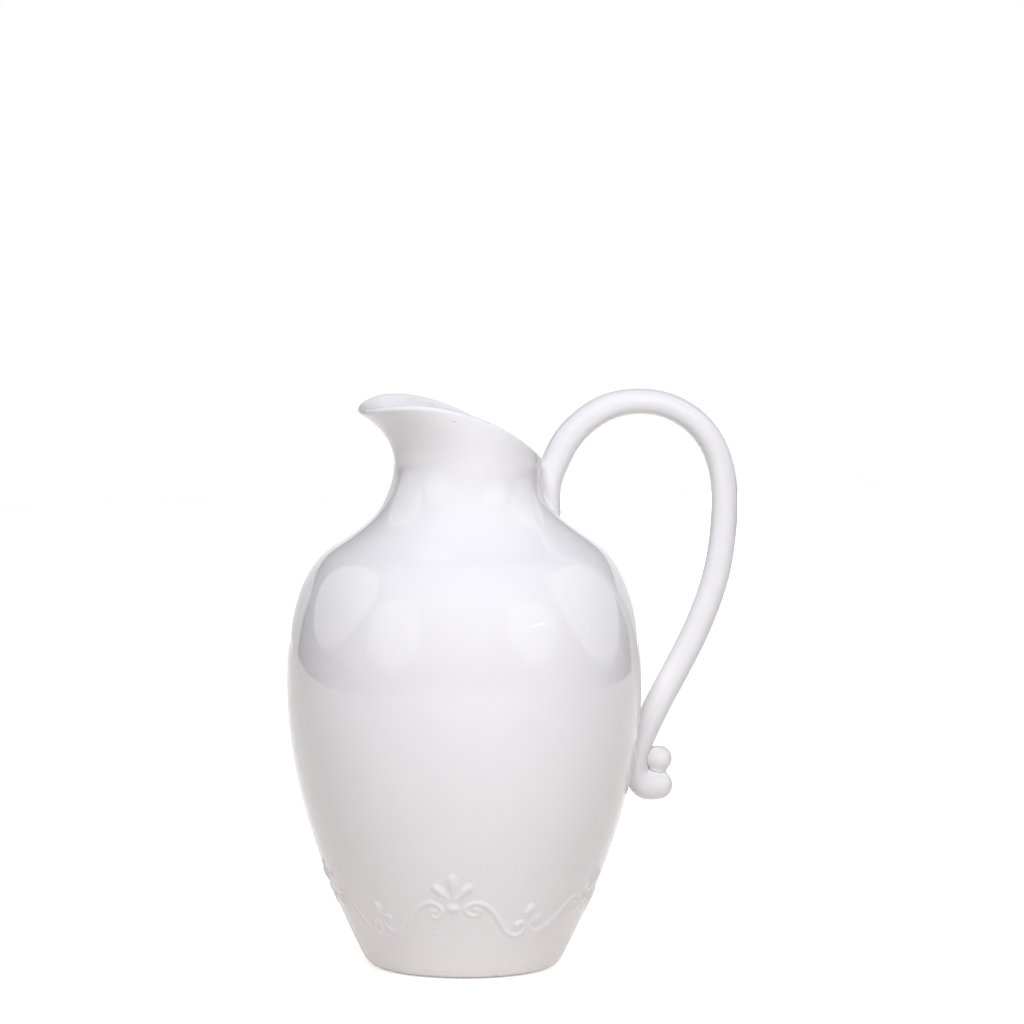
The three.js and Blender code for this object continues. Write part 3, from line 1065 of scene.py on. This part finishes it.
@dataclass(frozen=True)
class Softbox:
    """A soft studio lamp, placed by its direction as seen from the jug.

    The turn counts from straight in front of the jug towards the handle, and the lift from level, both
    in degrees. The radiance is the brightness of the lamp's own face, where 1 is white.
    """

    name: str
    role: LampRole
    turn: float
    lift: float
    distance: float
    size: tuple[float, float]
    radiance: float
    colour: str = "ffffff"
    oval: bool = False

    def build(self, aim: Vector) -> None:
        """Adds the lamp.

        Args:
            aim: the point that it looks at.
        """
        lamp = bpy.data.lights.new(self.name, "AREA")
        lamp.shape = "ELLIPSE" if self.oval else "RECTANGLE"
        lamp.size, lamp.size_y = self.size
        area = self.size[0] * self.size[1] * (math.pi / 4 if self.oval else 1)
        lamp.energy = math.pi * area * self.radiance
        lamp.color = linear_colour(self.colour)[:3]
        turn, lift = math.radians(self.turn), math.radians(self.lift)
        way = Vector((math.cos(lift) * math.sin(turn), -math.cos(lift) * math.cos(turn), math.sin(lift)))
        holder = bpy.data.objects.new(self.name, lamp)
        bpy.context.scene.collection.objects.link(holder)
        holder.location = aim + way * self.distance
        holder.rotation_euler = (-way).to_track_quat("-Z", "Y").to_euler()
        holder.visible_glossy = self.role is LampRole.PANEL
        holder.visible_diffuse = self.role is LampRole.FILL


@dataclass
class Studio:
    """The white table, the lamps, the room round them and the camera.

    Each gloss is how bright the table, a wall or the ceiling shows in the glaze, where 1 is white.
    """

    form: JugForm
    table: tuple[float, float] = (2.3, 3.7)
    table_colour: str = "f4eee7"
    table_glow: float = 0.75
    table_gloss: tuple[float, float] = (0.16, 0.78)
    table_fade: float = 0.3
    room_colour: str = "ffffff"
    room_grey: float = 0.06
    front_gloss: float = 0.3
    back_gloss: float = 0.15
    ceiling_gloss: float = 0.06
    wall_fade: float = 0.5
    ceiling_fade: tuple[float, float] = (0.62, 0.85)
    lamp_aim: float = 150 * MM
    camera_distance: float = 4.0
    camera_height: float = 659.3 * MM
    camera_turn: float = math.radians(-13)
    camera_roll: float = math.radians(0.193)
    aim_height: float = 130 * MM
    aim_right: float = -47.26
    aim_down: float = 167.51
    focal_pixels: float = 8963.2
    frame_pixels: int = 1024
    sensor: float = 36.0
    clip_end: float = 100.0
    lamps: tuple[Softbox, ...] = (
        Softbox("fill_high", LampRole.FILL, -8, 48, 2.2, (1.6, 1.0), 9.65, "f7f8ff"),
        Softbox("fill_top", LampRole.FILL, -8, 70, 2.0, (1.6, 1.6), 0.28, "f7f8ff"),
        Softbox("fill_inside", LampRole.FILL, -8, 88, 2.0, (0.4, 0.4), 2.5, "f7f8ff"),
        Softbox("fill_back", LampRole.FILL, 167, 3, 2.2, (0.6, 0.8), 15.0),
        Softbox("panel_front_left", LampRole.PANEL, -61, 18.5, 1.3, (0.88, 0.88), 0.95, oval=True),
        Softbox("panel_front_right", LampRole.PANEL, 34.5, 20.5, 1.3, (0.82, 0.8), 0.98, oval=True),
        Softbox("panel_side_left", LampRole.PANEL, -116, 26, 1.3, (1.32, 1.16), 1.0, oval=True),
        Softbox("panel_side_right", LampRole.PANEL, 92, 24, 1.3, (1.4, 1.3), 0.98, oval=True),
        Softbox("backdrop", LampRole.PANEL, 167, 1, 1.6, (2.93, 0.68), 0.9),
        Softbox("tube_front_right", LampRole.PANEL, 38.5, 20.5, 1.25, (0.22, 0.014), 9.0),
    )

    def build_table(self) -> None:
        """Lays the pale table top, which shows white to the camera and keeps the jug's shadow."""
        start_alone()
        bpy.ops.mesh.primitive_plane_add(size=1)
        top = bpy.context.object
        top.name = "studio_table"
        bpy.ops.transform.resize(value=(*self.table, 1))
        bpy.ops.object.transform_apply(location=True, rotation=True, scale=True)
        material, tree = new_material("white_studio_paper")
        path = add_node(tree, "ShaderNodeLightPath")
        paper = add_node(tree, "ShaderNodeBsdfDiffuse", {"Color": linear_colour(self.table_colour)})
        spot = add_node(tree, "ShaderNodeTexCoord").outputs["Object"]
        place = add_node(tree, "ShaderNodeSeparateXYZ", {0: spot})
        towards_back = add_node(
            tree,
            "ShaderNodeMapRange",
            {
                "Value": place.outputs["Y"],
                "From Min": -self.table_fade,
                "From Max": self.table_fade,
                "To Min": self.table_gloss[0],
                "To Max": self.table_gloss[1],
            },
        )
        mirrored = add_node(
            tree,
            "ShaderNodeMath",
            {0: path.outputs["Is Glossy Ray"], 1: towards_back.outputs["Result"]},
            operation="MULTIPLY",
        )
        seen = add_node(
            tree,
            "ShaderNodeMath",
            {0: path.outputs["Is Camera Ray"], 1: self.table_glow, 2: mirrored.outputs[0]},
            operation="MULTIPLY_ADD",
        )
        glow = add_node(tree, "ShaderNodeEmission", {"Strength": seen.outputs[0]})
        both = add_node(tree, "ShaderNodeAddShader", {0: paper.outputs[0], 1: glow.outputs[0]})
        add_node(tree, "ShaderNodeOutputMaterial", {"Surface": both.outputs[0]})
        top.data.materials.append(material)

    def build_room(self) -> None:
        """Sets a soft grey room, white where the camera sees it, with levels of its own in the gloss."""
        room = bpy.data.worlds.new("studio_room")
        bpy.context.scene.world = room
        room.use_nodes = True
        tree = room.node_tree
        tree.nodes.clear()
        path = add_node(tree, "ShaderNodeLightPath")
        outlook = add_node(tree, "ShaderNodeTexCoord").outputs["Generated"]
        way = add_node(tree, "ShaderNodeSeparateXYZ", {0: outlook})
        walls_seen = add_node(
            tree,
            "ShaderNodeMapRange",
            {
                "Value": way.outputs["Y"],
                "From Min": 0.0,
                "From Max": self.wall_fade,
                "To Min": self.front_gloss,
                "To Max": self.back_gloss,
            },
        )
        gloss = add_node(
            tree,
            "ShaderNodeMapRange",
            {
                "Value": way.outputs["Z"],
                "From Min": self.ceiling_fade[0],
                "From Max": self.ceiling_fade[1],
                "To Min": walls_seen.outputs["Result"],
                "To Max": self.ceiling_gloss,
            },
        )
        dim = add_node(
            tree,
            "ShaderNodeMapRange",
            {
                "Value": path.outputs["Is Glossy Ray"],
                "To Min": self.room_grey,
                "To Max": gloss.outputs["Result"],
            },
        )
        level = add_node(
            tree,
            "ShaderNodeMapRange",
            {"Value": path.outputs["Is Camera Ray"], "To Min": dim.outputs["Result"], "To Max": 1.0},
        )
        walls = add_node(
            tree,
            "ShaderNodeBackground",
            {"Color": linear_colour(self.room_colour), "Strength": level.outputs["Result"]},
        )
        add_node(tree, "ShaderNodeOutputWorld", {"Surface": walls.outputs[0]})

    def build_camera(self) -> None:
        """Stands the camera where the photograph was taken from."""
        axis = self.form.axis
        swing = Vector((math.sin(self.camera_turn), -math.cos(self.camera_turn), 0))
        place = axis + swing * self.camera_distance + Vector((0, 0, self.camera_height))
        forward = (axis + Vector((0, 0, self.aim_height)) - place).normalized()
        right = forward.cross(Vector((0, 0, 1))).normalized()
        up = right.cross(forward)
        pan = math.atan2(self.aim_right, self.focal_pixels)
        tilt = math.atan2(self.aim_down, self.focal_pixels)
        forward, right = (
            forward * math.cos(pan) - right * math.sin(pan),
            right * math.cos(pan) + forward * math.sin(pan),
        )
        forward, up = (
            forward * math.cos(tilt) + up * math.sin(tilt),
            up * math.cos(tilt) - forward * math.sin(tilt),
        )
        right, up = (
            right * math.cos(self.camera_roll) + up * math.sin(self.camera_roll),
            up * math.cos(self.camera_roll) - right * math.sin(self.camera_roll),
        )
        lens = bpy.data.cameras.new("camera")
        lens.sensor_width = self.sensor
        lens.lens = self.focal_pixels / self.frame_pixels * self.sensor
        lens.clip_end = self.clip_end
        holder = bpy.data.objects.new("camera", lens)
        bpy.context.scene.collection.objects.link(holder)
        turn = Matrix((right, up, -forward)).transposed().to_4x4()
        holder.matrix_world = Matrix.Translation(place) @ turn
        bpy.context.scene.camera = holder

    def build(self) -> None:
        """Sets up the whole studio."""
        bpy.context.scene.view_settings.view_transform = "Standard"
        self.build_table()
        self.build_room()
        for lamp in self.lamps:
            lamp.build(self.form.axis + Vector((0, 0, self.lamp_aim)))
        self.build_camera()


def main() -> None:
    """Builds the jug's pieces in order, dresses them and sets up the studio."""
    logging.basicConfig(level=logging.INFO, format="%(name)s: %(message)s")
    low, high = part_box("body")
    form = JugForm(axis=Vector(((low.x + high.x) / 2, 0, 0)))
    glaze = PorcelainGlaze().material()
    biscuit = BiscuitClay().material()
    body = JugBody(form)
    body.build()
    seat = body.seat()
    handle = LoopHandle(form)
    handle.build(seat)
    border = ReliefBorder(form)
    border.build()
    body.dress(glaze, biscuit)
    handle.dress(glaze)
    border.dress(glaze)
    for piece in (body.piece, handle.rod, handle.ball, *border.pieces):
        LOG.info("%s has %d faces", piece.name, len(piece.data.polygons))
    Studio(form).build()


if __name__ == "__main__":
    main()
